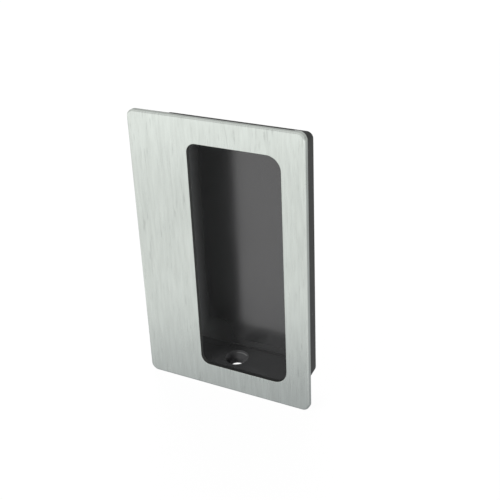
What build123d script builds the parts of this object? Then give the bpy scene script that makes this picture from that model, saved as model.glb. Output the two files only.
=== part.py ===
"""Recessed pull handle: a brushed face plate over a black cup that sinks into the door.

X runs to the right as the door is faced, Y runs into the door and Z runs up. The origin is the
centre of the plate's back face, which lies on the door's surface. Lengths are in millimetres.
"""

import os
from math import radians, tan

from build123d import *

# Face plate
plate_width = 76.6
plate_height = 120.0
plate_thickness = 2.2
plate_corner_radius = 3.2
plate_edge_radius = 0.7

# Opening for the fingers, nearer the plate's right edge, so that the left part hides the grip
opening_right_margin = 9.9
opening_left_margin = 26.4
opening_end_margin = 10.4
opening_right_corner_radius = 6.0
opening_left_corner_radius = 4.0
opening_edge_radius = 0.15

# Shallow recess in the plate's back that seats the cup's rim
seat_depth = 0.4
seat_clearance = 0.05

# Cup behind the plate
cup_side_wall = 5.1
cup_end_wall = 4.8
cup_back_wall = 2.0
cavity_depth = 15.8
mouth_gap = 0.3
draft_angle = 3.5
cup_corner_radius = 2.8
cup_back_edge_radius = 1.3
cavity_corner_radius = 4.0
cavity_floor_radius = 0.25

# Countersunk screw holes, one through each end wall of the cup
screw_hole_diameter = 6.0
countersink_diameter = 10.2
countersink_angle = 82.0
screw_hole_depth = 7.0

# Places that follow from the sizes above
opening_width = plate_width - opening_left_margin - opening_right_margin
opening_height = plate_height - 2 * opening_end_margin
opening_center_x = (opening_left_margin - opening_right_margin) / 2
mouth_half_width = plate_width / 2 - opening_right_margin + mouth_gap
mouth_half_height = opening_height / 2 + mouth_gap
cup_half_width = mouth_half_width + cup_side_wall
cup_half_height = mouth_half_height + cup_end_wall
cup_depth = cavity_depth + cup_back_wall
slope = tan(radians(draft_angle))
past_wall = 1.0


def door_plane(depth, center_x=0.0):
    """A plane that faces into the door, at a depth behind the plate's back face."""
    return Plane(origin=(center_x, depth, 0), x_dir=(1, 0, 0), z_dir=(0, 1, 0))


def edges_at(shape, depth):
    """The edges of a shape that lie wholly at one depth."""
    return shape.edges().filter_by_position(Axis.Y, depth, depth)


def tapered_block(half_width, half_height, radius, depth):
    """A block that narrows by the draft as it runs from the seat in the plate to a depth."""
    shrink = (depth + seat_depth) * slope
    rim = RectangleRounded(2 * half_width, 2 * half_height, radius)
    end = RectangleRounded(2 * (half_width - shrink), 2 * (half_height - shrink), radius)
    return loft([door_plane(-seat_depth) * rim, door_plane(depth) * end])


def front_face(shape):
    """The flat face that is farthest out from the door."""
    return shape.faces().filter_by(GeomType.PLANE).sort_by(Axis.Y)[0]


def opening_outline():
    """The finger opening, with tighter corners on the side of the grip."""
    outline = Rectangle(opening_width, opening_height)
    outline = fillet(outline.vertices().group_by(Axis.X)[0], opening_left_corner_radius)
    return fillet(outline.vertices().group_by(Axis.X)[-1], opening_right_corner_radius)


def make_face_plate():
    """The flat plate with its finger opening and the cup's seat, edges eased on the front."""
    outline = RectangleRounded(plate_width, plate_height, plate_corner_radius)
    plate = extrude(door_plane(-plate_thickness) * outline, plate_thickness)
    plate -= extrude(door_plane(-plate_thickness, opening_center_x) * opening_outline(), plate_thickness)
    seat = RectangleRounded(
        2 * (cup_half_width + seat_clearance),
        2 * (cup_half_height + seat_clearance),
        cup_corner_radius + seat_clearance,
    )
    plate -= extrude(door_plane(-seat_depth) * seat, seat_depth)
    plate = fillet(front_face(plate).inner_wires().edges(), opening_edge_radius)
    return fillet(front_face(plate).outer_wire().edges(), plate_edge_radius)


def make_screw_hole(side):
    """The tool for one screw hole, square to the door's pocket: side is 1 at the top, -1 below."""
    face_height = mouth_half_height - (screw_hole_depth + seat_depth) * slope
    hole_radius = screw_hole_diameter / 2
    head_radius = countersink_diameter / 2
    flare = tan(radians(countersink_angle / 2))
    head_depth = (head_radius - hole_radius) / flare
    profile = Polyline(
        (0, face_height - past_wall),
        (head_radius + past_wall * flare, face_height - past_wall),
        (hole_radius, face_height + head_depth),
        (hole_radius, cup_half_height + past_wall),
        (0, cup_half_height + past_wall),
        close=True,
    )
    tool = revolve(Plane.XZ * make_face(profile), Axis.Z)
    tool = Pos(0, screw_hole_depth, 0) * tool
    return tool if side > 0 else mirror(tool, about=Plane.XY)


def make_cup_body():
    """The drafted cup: its hollow reaches from beyond the opening to behind the plate's left part."""
    outside = tapered_block(cup_half_width, cup_half_height, cup_corner_radius, cup_depth)
    outside = fillet(edges_at(outside, cup_depth), cup_back_edge_radius)
    hollow = tapered_block(mouth_half_width, mouth_half_height, cavity_corner_radius, cavity_depth)
    hollow = fillet(edges_at(hollow, cavity_depth), cavity_floor_radius)
    cup = outside - hollow
    for side in (-1, 1):
        cup -= make_screw_hole(side)
    return cup


nodes = {
    "face_plate": make_face_plate(),
    "cup_body": make_cup_body(),
}

os.makedirs("parts", exist_ok=True)
for name, shape in nodes.items():
    export_step(shape, f"parts/{name}.step")
    print(name, "volume", round(shape.volume, 1), "mm3")
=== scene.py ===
# Recessed pull handle: a brushed face plate over a satin black cup that sinks into the door.
# The door's surface is the XZ plane, +Y runs into the door and +Z up. Lengths are in metres,
# and in millimetres in the dictionaries of the plate and the cup.

from math import radians, sin

import bpy
import numpy as np
from mathutils import Matrix, Vector


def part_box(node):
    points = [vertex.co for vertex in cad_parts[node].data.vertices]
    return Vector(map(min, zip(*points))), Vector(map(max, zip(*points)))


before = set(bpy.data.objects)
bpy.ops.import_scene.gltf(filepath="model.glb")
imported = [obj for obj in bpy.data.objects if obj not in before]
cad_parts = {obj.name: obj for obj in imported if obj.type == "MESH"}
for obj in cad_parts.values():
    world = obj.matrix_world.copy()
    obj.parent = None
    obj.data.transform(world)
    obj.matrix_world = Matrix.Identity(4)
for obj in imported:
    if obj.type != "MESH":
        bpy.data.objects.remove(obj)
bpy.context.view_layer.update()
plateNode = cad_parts["face_plate"]
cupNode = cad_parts["cup_body"]
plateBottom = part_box("face_plate")[0].z


# Node helpers. A place is a node's column and row in the editor.

nodeStep = 220              # between two columns or rows
mmPerMetre = 1000
noiseRange = (0.3, 0.7)     # most values of a noise lie in here


def newMaterial(name):
    material = bpy.data.materials.new(name)
    material.use_nodes = True
    material.node_tree.nodes.clear()
    return material, material.node_tree


# Each input is a socket to link or a fixed value. Its name has _ for a space.
def addNode(tree, kind, place, settings=None, **inputs):
    node = tree.nodes.new("ShaderNode" + kind)
    node.location = (place[0] * nodeStep, place[1] * nodeStep)
    for key, value in (settings or {}).items():
        setattr(node, key, value)
    for key, value in inputs.items():
        setInput(tree, node, key.replace("_", " "), value)
    return node


# Inputs that share a name with others are given by their number
def setInput(tree, node, name, value):
    socket = node.inputs[int(name) if name.isdigit() else name]
    if isinstance(value, bpy.types.NodeSocket):
        tree.links.new(value, socket)
    else:
        socket.default_value = value


def setNumbered(tree, node, sources):
    for number, value in sources.items():
        setInput(tree, node, str(number), value)


def calc(tree, operation, place, first, second=None):
    node = addNode(tree, "Math", place, {"operation": operation})
    setNumbered(tree, node, {0: first} if second is None else {0: first, 1: second})
    return node.outputs[0]


def product(tree, place, *factors):
    result = factors[0]
    for factor in factors[1:]:
        result = calc(tree, "MULTIPLY", place, result, factor)
    return result


def vectorCalc(tree, operation, place, first, second=None):
    node = addNode(tree, "VectorMath", place, {"operation": operation})
    setNumbered(tree, node, {0: first} if second is None else {0: first, 1: second})
    return node.outputs


def scaleVector(tree, place, vector, factor):
    node = addNode(tree, "VectorMath", place, {"operation": "SCALE"}, Scale=factor)
    setNumbered(tree, node, {0: vector})
    return node.outputs[0]


def axesOf(tree, place, vector):
    return addNode(tree, "SeparateXYZ", place, Vector=vector).outputs


# A number that runs from low to high as the value runs between two limits
def fade(tree, place, value, limits, low=0.0, high=1.0, kind="LINEAR"):
    node = addNode(tree, "MapRange", place, {"interpolation_type": kind}, Value=value,
                   From_Min=limits[0], From_Max=limits[1], To_Min=low, To_Max=high)
    return node.outputs["Result"]


# A noise, spread evenly about a middle value
def spread(tree, value, middle, reach, row):
    return fade(tree, (-3, row), value, noiseRange, middle - reach, middle + reach)


# A colour for a socket, from three numbers or from one for all three
def asColour(value):
    return (*value, 1) if isinstance(value, tuple) else (value, value, value, 1)


def mixColours(tree, place, share, first, second):
    mix = addNode(tree, "Mix", place, {"data_type": "RGBA"})
    setNumbered(tree, mix, {0: share, 6: first, 7: second})
    return mix.outputs[2]


def mixShaders(tree, place, share, first, second):
    mix = addNode(tree, "MixShader", place)
    setNumbered(tree, mix, {0: share, 1: first.outputs[0], 2: second.outputs[0]})
    return mix


# Coordinates of the piece in millimetres, squeezed by a factor for each axis
def stretchedPlace(tree, squeeze, row):
    coords = addNode(tree, "TexCoord", (-6, row))
    return addNode(tree, "Mapping", (-5, row), Vector=coords.outputs["Object"],
                   Scale=[mmPerMetre * s for s in squeeze]).outputs[0]


def plainPlace(tree, row):
    return stretchedPlace(tree, (1, 1, 1), row)


# Which way the surface faces, along the axes of the piece
def facingOf(tree, row):
    return axesOf(tree, (-1, row), addNode(tree, "TexCoord", (-2, row)).outputs["Normal"])


# How far a point lies outside an upright box: the largest of |p - middle| - half
def outsideBox(tree, box, row):
    offset = vectorCalc(tree, "SUBTRACT", (-5, row), plainPlace(tree, row), box["middle"])[0]
    size = vectorCalc(tree, "ABSOLUTE", (-4, row), offset)[0]
    past = axesOf(tree, (-2, row), vectorCalc(tree, "SUBTRACT", (-3, row), size, box["half"])[0])
    return calc(tree, "MAXIMUM", (-1, row), past["X"],
                calc(tree, "MAXIMUM", (-1, row), past["Y"], past["Z"]))


def noise(tree, place, row, scale, detail):
    node = addNode(tree, "TexNoise", (-4, row), Vector=place, Scale=scale, Detail=detail)
    return node.outputs["Fac"]


# Noise of the same size in all directions
def evenNoise(tree, setup, row):
    return noise(tree, plainPlace(tree, row), row, 1 / setup["size"], setup["detail"])


def makeBump(tree, place, height, setup, **inputs):
    return addNode(tree, "Bump", place, Height=height, Strength=setup["strength"],
                   Distance=setup["depth"] / mmPerMetre, **inputs).outputs[0]


def useMaterial(obj, material):
    if obj.data.materials:
        for i in range(len(obj.data.materials)):
            obj.data.materials[i] = material
    else:
        obj.data.materials.append(material)


# Face plate: stainless look, brushed along its length, with the opening's cut edge black, and
# black painted shade along the back of its top edge before the cup.
# The size of a pattern is its width across the plate and its length along it, and its spread
# is a share of the tone.
plateFinish = {
    "colour": (0.72, 0.765, 0.722),
    "roughness": 0.3,
    "roughnessSpread": 0.04,
    "anisotropy": 0.9,
    "brushing": (0.02, 0.0, 1.0),       # along the plate, a hair off upright
    "detail": 2.0,                      # of each pattern's noise
    "hairs": {"size": (0.3, 30.0), "spread": 0.03},
    "hairBump": {"strength": 0.25, "depth": 0.0015},
    "streaks": {"size": (1.5, 13.0), "spread": 0.05},
    "clouds": {"size": (5.0, 20.0), "spread": 0.022},
    # short darker strokes in loose patches, each seen where its noise is between two limits
    "ticks": {"size": (0.85, 7.5), "limits": (0.58, 0.7), "depth": 0.16},
    "patches": {"size": (9.0, 22.0), "limits": (0.42, 0.6)},
    "flatFacing": 0.7,      # a face is flat if its normal has more of Y than this
    # the cut edge is what lies in the opening's box and doesn't face out of the plate
    "opening": {"middle": (8.25, 0.0, 0.0), "half": (20.25, 9.0, 49.7)},
    "cutFacing": -0.5,
    "cutEdgeAndSeamShade": {"colour": (0.014, 0.0145, 0.014), "roughness": 0.45},
    # painted shade, as black: the back of the plate's top edge before the cup, in a strip that
    # widens from the left
    "seamShade": {"widens": (-31.0, -11.0), "end": 33.5, "width": 0.65, "height": 59.95},
}


# The noise of one of the finish's patterns, drawn out along the plate
def drawnNoise(tree, finish, pattern, row):
    across, along = [1 / size for size in finish[pattern]["size"]]
    place = stretchedPlace(tree, (across, along, along), row)
    return noise(tree, place, row, 1.0, finish["detail"])


# How much of the metal's tone the strokes take away
def makeTicks(tree, finish, isFlat):
    ticks, patches = finish["ticks"], finish["patches"]
    strokes = fade(tree, (-3, 10), drawnNoise(tree, finish, "ticks", 10), ticks["limits"],
                   high=ticks["depth"])
    inPatch = fade(tree, (-3, 11), drawnNoise(tree, finish, "patches", 11), patches["limits"])
    return product(tree, (-1, 10), strokes, inPatch, isFlat)


# Where the plate is black: 1 on the opening's cut edge and in the painted shade on the back of
# the top edge, and 0 elsewhere
def makeCutMask(tree, finish, facing):
    inside = calc(tree, "LESS_THAN", (0, 6), outsideBox(tree, finish["opening"], 6), 0.0)
    sideways = calc(tree, "GREATER_THAN", (0, 7), facing["Y"], finish["cutFacing"])
    seamShade = finish["seamShade"]
    place = axesOf(tree, (-4, 13), plainPlace(tree, 13))
    width = fade(tree, (-3, 13), place["X"], seamShade["widens"], high=seamShade["width"])
    isBack = calc(tree, "GREATER_THAN", (-1, 13),
                  calc(tree, "ADD", (-2, 13), place["Y"], width), 0.0)
    isTop = calc(tree, "GREATER_THAN", (-1, 14), place["Z"], seamShade["height"])
    isBefore = calc(tree, "LESS_THAN", (-1, 15), place["X"], seamShade["end"])
    return calc(tree, "MAXIMUM", (2, 6), product(tree, (1, 6), inside, sideways),
                product(tree, (1, 13), isBack, isTop, isBefore))


def makeBrushedMetal(finish):
    material, tree = newMaterial("brushedMetal")
    hairs = drawnNoise(tree, finish, "hairs", 0)
    tone = spread(tree, hairs, 1.0, finish["hairs"]["spread"], 0)
    for row, pattern in ((2, "streaks"), (4, "clouds")):
        layer = spread(tree, drawnNoise(tree, finish, pattern, row), 1.0,
                       finish[pattern]["spread"], row)
        tone = product(tree, (-2, row), tone, layer)
    facing = facingOf(tree, 7)
    isFlat = calc(tree, "GREATER_THAN", (0, 8), calc(tree, "ABSOLUTE", (-1, 8), facing["Y"]),
                  finish["flatFacing"])
    dip = calc(tree, "SUBTRACT", (-1, 10), 1.0, makeTicks(tree, finish, isFlat))
    metal = scaleVector(tree, (-1, 1), finish["colour"], product(tree, (-1, 2), tone, dip))

    # black paint on the cut edge, and the same black as painted shade on the top edge's back
    cutAndSeamShade, cutEdgeAndSeamShade = makeCutMask(tree, finish, facing), finish["cutEdgeAndSeamShade"]
    colour = mixColours(tree, (1, 1), cutAndSeamShade, metal, asColour(cutEdgeAndSeamShade["colour"]))
    bare = spread(tree, hairs, finish["roughness"], finish["roughnessSpread"], 1)
    roughness = fade(tree, (1, 0), cutAndSeamShade, (0.0, 1.0), bare, cutEdgeAndSeamShade["roughness"])
    metallic = calc(tree, "SUBTRACT", (2, 6), 1.0, cutAndSeamShade)

    # the shine is drawn out across the brushing
    normal = addNode(tree, "NewGeometry", (0, -2)).outputs["Normal"]
    across = vectorCalc(tree, "CROSS_PRODUCT", (1, -2), normal, finish["brushing"])[0]
    shader = addNode(tree, "BsdfPrincipled", (3, 0), Base_Color=colour, Metallic=metallic,
                     Roughness=roughness, Anisotropic=finish["anisotropy"],
                     Normal=makeBump(tree, (1, -1), hairs, finish["hairBump"]), Tangent=across)
    addNode(tree, "OutputMaterial", (5, 0), Surface=shader.outputs[0])
    return material


useMaterial(plateNode, makeBrushedMetal(plateFinish))
print("face plate finished")


# Cup: satin black lacquer in the hollow, duller on the outside and in the holes, with painted
# shade, darker and duller, in the corners; painted light, shade and a highlight tone parts of the
# hollow and the holes
cupFinish = {
    "ior": 1.6,
    "specular": 1.0,
    "hollow": {"colour": (0.029, 0.029, 0.03), "roughness": 0.22, "gloss": 1.0},
    "cornerShade": {"colour": (0.022, 0.022, 0.022), "roughness": 0.45, "gloss": 0.5},
    "outside": {"colour": (0.0125, 0.013, 0.0125), "roughness": 0.5, "gloss": 0.18},
    "hole": {"colour": (0.075, 0.075, 0.077), "roughness": 0.5, "gloss": 0.1},
    "walls": {"middle": (0.0, 0.0, 0.0), "half": (30.5, 16.6, 50.5)},   # a box within the walls
    "floor": {"middle": (0.0, 15.9, 0.0), "half": (27.4, 0.5, 48.5)},   # the hollow's back
    "holes": {"middle": (0.0, 7.0, 0.0), "half": (5.4, 5.4, 90.0)},     # a box round the holes
    "holeFacing": 0.9,      # the holes' surfaces face up or down by less than this
    # painted shade, darker and duller, along the corner, the line round the hollow's back: this
    # deep, at the rim, not on the left
    "line": {"deep": (15.3, 15.6), "rim": (-0.3, 0.0), "right": (-7.0, 3.0)},
    # painted shade on the holes' sides that face +X
    "shade": {"colour": (0.03, 0.03, 0.031), "facing": (0.25, 0.65)},
    # a painted highlight: a thin bright line in the back of the countersinks, round the holes'
    # middle
    "glint": {"colour": (0.18, 0.18, 0.18), "radius": 4.68, "width": 0.32,
              "right": (-2.4, -1.6), "back": (10.2, 10.8)},
    # painted light: paler behind the plate's left part, and somewhat paler near the lower end
    "paintedLight": {"colour": (0.1, 0.103, 0.103), "across": (-17.0, -24.0),
             "down": (-35.0, -46.0), "downShare": 0.2},
    # painted light as well: the lower left of the hollow's back
    "low": {"X": (-3.0, -10.0), "Y": (8.0, 14.0), "Z": (-33.5, -46.5), "share": 0.6},
    "cloud": {"size": 12.0, "detail": 3.0, "spread": 0.02},
    "grain": {"size": 0.45, "detail": 1.0, "strength": 0.3, "depth": 0.001},
    # the outside's coarser grain, with a mottled tone
    "mould": {"size": 0.9, "detail": 2.0, "strength": 0.3, "depth": 0.05, "mottle": 0.22},
}


# Painted shade along the line in which the hollow's back meets its walls
def makeCornerMask(tree, finish, place):
    line = finish["line"]
    return product(tree, (2, 8), fade(tree, (-3, 7), place["Y"], line["deep"]),
                   fade(tree, (0, 9), outsideBox(tree, finish["floor"], 9), line["rim"]),
                   fade(tree, (1, 9), place["X"], line["right"]))


# The screw holes' surfaces: in their box, past the hollow's ends, and not facing up or down
def makeHoleMask(tree, finish, place, facing):
    near = calc(tree, "LESS_THAN", (0, 12), outsideBox(tree, finish["holes"], 12), 0.0)
    tilted = calc(tree, "LESS_THAN", (1, 13), calc(tree, "ABSOLUTE", (0, 13), facing["Z"]),
                  finish["holeFacing"])
    past = calc(tree, "GREATER_THAN", (1, 14), calc(tree, "ABSOLUTE", (0, 14), place["Z"]),
                finish["floor"]["half"][2])
    return product(tree, (2, 12), near, tilted, past)


# The painted highlight's line: |distance from the holes' middle - radius| is under half the
# line's width
def makeGlintMask(tree, finish, place):
    glint = finish["glint"]
    flat = stretchedPlace(tree, (1, 1, 0), 22)
    distance = vectorCalc(tree, "DISTANCE", (-3, 22), flat, finish["holes"]["middle"])["Value"]
    offLine = calc(tree, "ABSOLUTE", (-1, 22),
                   calc(tree, "SUBTRACT", (-2, 22), distance, glint["radius"]))
    return product(tree, (1, 22), calc(tree, "LESS_THAN", (0, 22), offLine, glint["width"] / 2),
                   fade(tree, (0, 23), place["X"], glint["right"]),
                   fade(tree, (0, 24), place["Y"], glint["back"]))


# The largest share of the painted light zones: on the left, near the lower end, and at the lower
# left
def makePaleMask(tree, finish, place):
    paintedLight, low = finish["paintedLight"], finish["low"]
    onLeft = fade(tree, (1, 16), place["X"], paintedLight["across"])
    atEnd = fade(tree, (1, 17), place["Z"], paintedLight["down"], high=paintedLight["downShare"])
    atLowerLeft = product(tree, (2, 20),
                          fade(tree, (1, 19), place["X"], low["X"], high=low["share"]),
                          fade(tree, (1, 20), place["Y"], low["Y"]),
                          fade(tree, (1, 21), place["Z"], low["Z"]))
    return calc(tree, "MAXIMUM", (3, 16), atLowerLeft,
                calc(tree, "MAXIMUM", (2, 16), onLeft, atEnd))


def makeSatinBlack(finish):
    material, tree = newMaterial("satinBlack")
    place, facing = axesOf(tree, (-4, 7), plainPlace(tree, 7)), facingOf(tree, 13)
    isOutside = calc(tree, "GREATER_THAN", (0, 4), outsideBox(tree, finish["walls"], 4), 0.0)
    isCornerShade = makeCornerMask(tree, finish, place)
    isHole = makeHoleMask(tree, finish, place, facing)
    isGlint = makeGlintMask(tree, finish, place)
    isPaintedLight = makePaleMask(tree, finish, place)
    isShade = fade(tree, (2, 14), facing["X"], finish["shade"]["facing"])

    # the hollow's setting, with those of the corner's painted shade, the outside and the holes
    # laid over it; the colour takes the painted light too, and the holes' painted shade and
    # painted highlight
    def byPlace(key, row):
        # a zone's setting over what lies under it, by its share there
        def layOver(column, tone, share, zone):
            return mixColours(tree, (column, row), share, tone, asColour(finish[zone][key]))

        tone, hole = asColour(finish["hollow"][key]), asColour(finish["hole"][key])
        if key == "colour":
            tone = layOver(3, tone, isPaintedLight, "paintedLight")
            hole = layOver(4, layOver(3, hole, isShade, "shade"), isGlint, "glint")
        tone = layOver(5, layOver(4, tone, isCornerShade, "cornerShade"), isOutside, "outside")
        return mixColours(tree, (6, row), isHole, tone, hole)

    cloud = evenNoise(tree, finish["cloud"], 1)
    roughness = calc(tree, "ADD", (4, 1), byPlace("roughness", 1),
                     spread(tree, cloud, 0.0, finish["cloud"]["spread"], 1))
    mould = finish["mould"]
    fine = makeBump(tree, (4, -1), evenNoise(tree, finish["grain"], 0), finish["grain"])
    pebbles = product(tree, (4, -2), evenNoise(tree, mould, -2), isOutside)
    mottle = fade(tree, (4, 18), isOutside, (0.0, 1.0), 1.0,
                  spread(tree, cloud, 1.0, mould["mottle"], 18))
    black = addNode(tree, "BsdfPrincipled", (6, 0),
                    Base_Color=scaleVector(tree, (5, 2), byPlace("colour", 2), mottle),
                    Roughness=roughness, IOR=finish["ior"], Specular_IOR_Level=finish["specular"],
                    Specular_Tint=byPlace("gloss", 3),
                    Normal=makeBump(tree, (5, -1), pebbles, mould, Normal=fine))
    addNode(tree, "OutputMaterial", (8, 0), Surface=black.outputs[0])
    return material


useMaterial(cupNode, makeSatinBlack(cupFinish))
print("cup finished")


# Floor: a flat square under the plate, row by row from two parameters that run from -1 to 1,
# times its half side
floorSetup = {
    "halfSide": 3.0,
    "pointsAcross": 3,
    "colour": (0.9, 0.9, 0.9),
    "whiteShare": 0.96,     # plain white over the shading, as the camera sees it
}
white = (1, 1, 1, 1)


def makeFloor(setup):
    side = np.linspace(-1, 1, setup["pointsAcross"])
    u, v = np.meshgrid(side, side)
    height = np.full(u.shape, plateBottom)
    points = np.stack([u * setup["halfSide"], v * setup["halfSide"], height], -1)
    rows, columns = u.shape
    index = np.arange(rows * columns).reshape(rows, columns)
    quads = np.stack([index[:-1, :-1], index[:-1, 1:], index[1:, 1:], index[1:, :-1]], -1)
    mesh = bpy.data.meshes.new("floor")
    mesh.from_pydata(points.reshape(-1, 3).tolist(), [], quads.reshape(-1, 4).tolist())
    floor = bpy.data.objects.new("floor", mesh)
    bpy.context.scene.collection.objects.link(floor)
    return floor


def makeFloorMaterial(setup):
    material, tree = newMaterial("floorWhite")
    paint = addNode(tree, "BsdfDiffuse", (0, 0), Color=asColour(setup["colour"]))
    glow = addNode(tree, "Emission", (0, 1), Color=white, Strength=1.0)
    path = addNode(tree, "LightPath", (-2, 2)).outputs
    share = product(tree, (-1, 2), path["Is Camera Ray"], setup["whiteShare"])
    mix = mixShaders(tree, (1, 0), share, paint, glow)
    addNode(tree, "OutputMaterial", (2, 0), Surface=mix.outputs[0])
    return material


floor = makeFloor(floorSetup)
useMaterial(floor, makeFloorMaterial(floorSetup))
floor.visible_glossy = False    # the dome shows in the metal instead
print("floor made")


# World: plain white to the camera, an even light, and a dome with dimmer parts for the gloss
domeSetup = {
    "light": 0.5,
    # how bright the dome is at these heights above the horizon, in degrees
    "front": ((-40, 0.36), (-35.5, 0.41), (-33, 0.46), (-31.3, 1.08), (-28, 0.89), (-22, 0.83),
              (-16.5, 1.3), (-11, 1.18), (-4, 0.76), (6, 0.66), (35, 0.8)),
    "behind": ((-40, 0.36), (-10, 0.5), (15, 0.42), (40, 0.6)),
    "lowTint": (0.985, 1.0, 1.05),      # bluer towards the ground
    "tintBelow": -32,                   # degrees
    "turn": (0.0, 0.5),     # where the front changes to the part behind, as a share of +Y
    # the front leans: lower on the left by this much, as shares of +Z between two shares of +X
    "lean": {"from": (-0.55, -0.3), "to": (-0.02, 0.018)},
}


# Brightness from the sine of the height, through a ramp whose stops are given in degrees
def heightRamp(tree, height, stops, setup, row):
    node = addNode(tree, "ValToRGB", (-4, row), Fac=fade(tree, (-5, row), height, (-1.0, 1.0)))
    ramp = node.color_ramp
    ramp.interpolation = "EASE"
    while len(ramp.elements) < len(stops):
        ramp.elements.new(0.5)      # moved to its place below
    for element, (degrees, value) in zip(ramp.elements, stops):
        tint = setup["lowTint"] if degrees < setup["tintBelow"] else (1, 1, 1)
        element.position = (sin(radians(degrees)) + 1) / 2
        element.color = (*[value * t for t in tint], 1)
    return node.outputs["Color"]


def makeWorld(setup):
    world = bpy.data.worlds.new("studio")
    world.use_nodes = True
    tree = world.node_tree
    tree.nodes.clear()
    toSky = axesOf(tree, (-6, 0), addNode(tree, "TexCoord", (-7, 0)).outputs["Generated"])
    lean = fade(tree, (-6, 1), toSky["X"], setup["lean"]["from"], *setup["lean"]["to"])
    height = calc(tree, "ADD", (-5, 0), toSky["Z"], lean)
    front = heightRamp(tree, height, setup["front"], setup, 2)
    behind = heightRamp(tree, height, setup["behind"], setup, 1)
    turn = fade(tree, (-3, 0), toSky["Y"], setup["turn"], kind="SMOOTHSTEP")
    dome = mixColours(tree, (-2, 1), turn, front, behind)
    path = addNode(tree, "LightPath", (-3, -2)).outputs
    gloss = addNode(tree, "Background", (0, 1), Color=dome)
    light = addNode(tree, "Background", (0, 0), Color=white, Strength=setup["light"])
    backdrop = addNode(tree, "Background", (0, -1), Color=white, Strength=1.0)
    bySurface = mixShaders(tree, (1, 0), path["Is Glossy Ray"], light, gloss)
    byCamera = mixShaders(tree, (2, 0), path["Is Camera Ray"], bySurface, backdrop)
    addNode(tree, "OutputWorld", (3, 0), Surface=byCamera.outputs[0])
    bpy.context.scene.world = world


makeWorld(domeSetup)
print("world made")


# Lamps: soft boxes that look at the middle of the handle
lamps = {
    "key": {"place": (-0.7, -1.1, 0.9), "size": 1.2, "watts": 16.0},
    "side": {"place": (1.2, -0.42, 0.05), "size": 0.2, "watts": 27.0},
    "back": {"place": (-0.7, 1.1, 0.8), "size": 1.0, "watts": 30.0},
}


# At a place, looking at another point
def lookAt(place, aim):
    turn = (aim - place).to_track_quat("-Z", "Y").to_matrix().to_4x4()
    return Matrix.Translation(place) @ turn


def makeLamp(name, setup):
    data = bpy.data.lights.new(name, "AREA")
    data.shape = "SQUARE"
    data.size = setup["size"]
    data.energy = setup["watts"]
    lamp = bpy.data.objects.new(name, data)
    lamp.matrix_world = lookAt(Vector(setup["place"]), Vector((0, 0, 0)))
    lamp.visible_glossy = False     # the gloss shows the dome alone
    bpy.context.scene.collection.objects.link(lamp)


for name, setup in lamps.items():
    makeLamp(name, setup)
print("lamps made")


# Camera: its place and aim were worked out from the plate's and the opening's edges in the photo
cameraSetup = {
    "place": (0.1742, -0.2876, 0.1739),
    "aim": (0.0141, -0.0022, 0.0093),
    "roll": -2.59,          # degrees
    "lens": 68.18,          # mm
    "clipStart": 0.01,
}


def makeCamera(setup):
    data = bpy.data.cameras.new("camera")
    data.lens = setup["lens"]
    data.clip_start = setup["clipStart"]
    camera = bpy.data.objects.new("camera", data)
    roll = Matrix.Rotation(radians(setup["roll"]), 4, "Z")
    camera.matrix_world = lookAt(Vector(setup["place"]), Vector(setup["aim"])) @ roll
    bpy.context.scene.collection.objects.link(camera)
    bpy.context.scene.camera = camera


makeCamera(cameraSetup)
bpy.context.scene.view_settings.view_transform = "Standard"
print("camera set up")
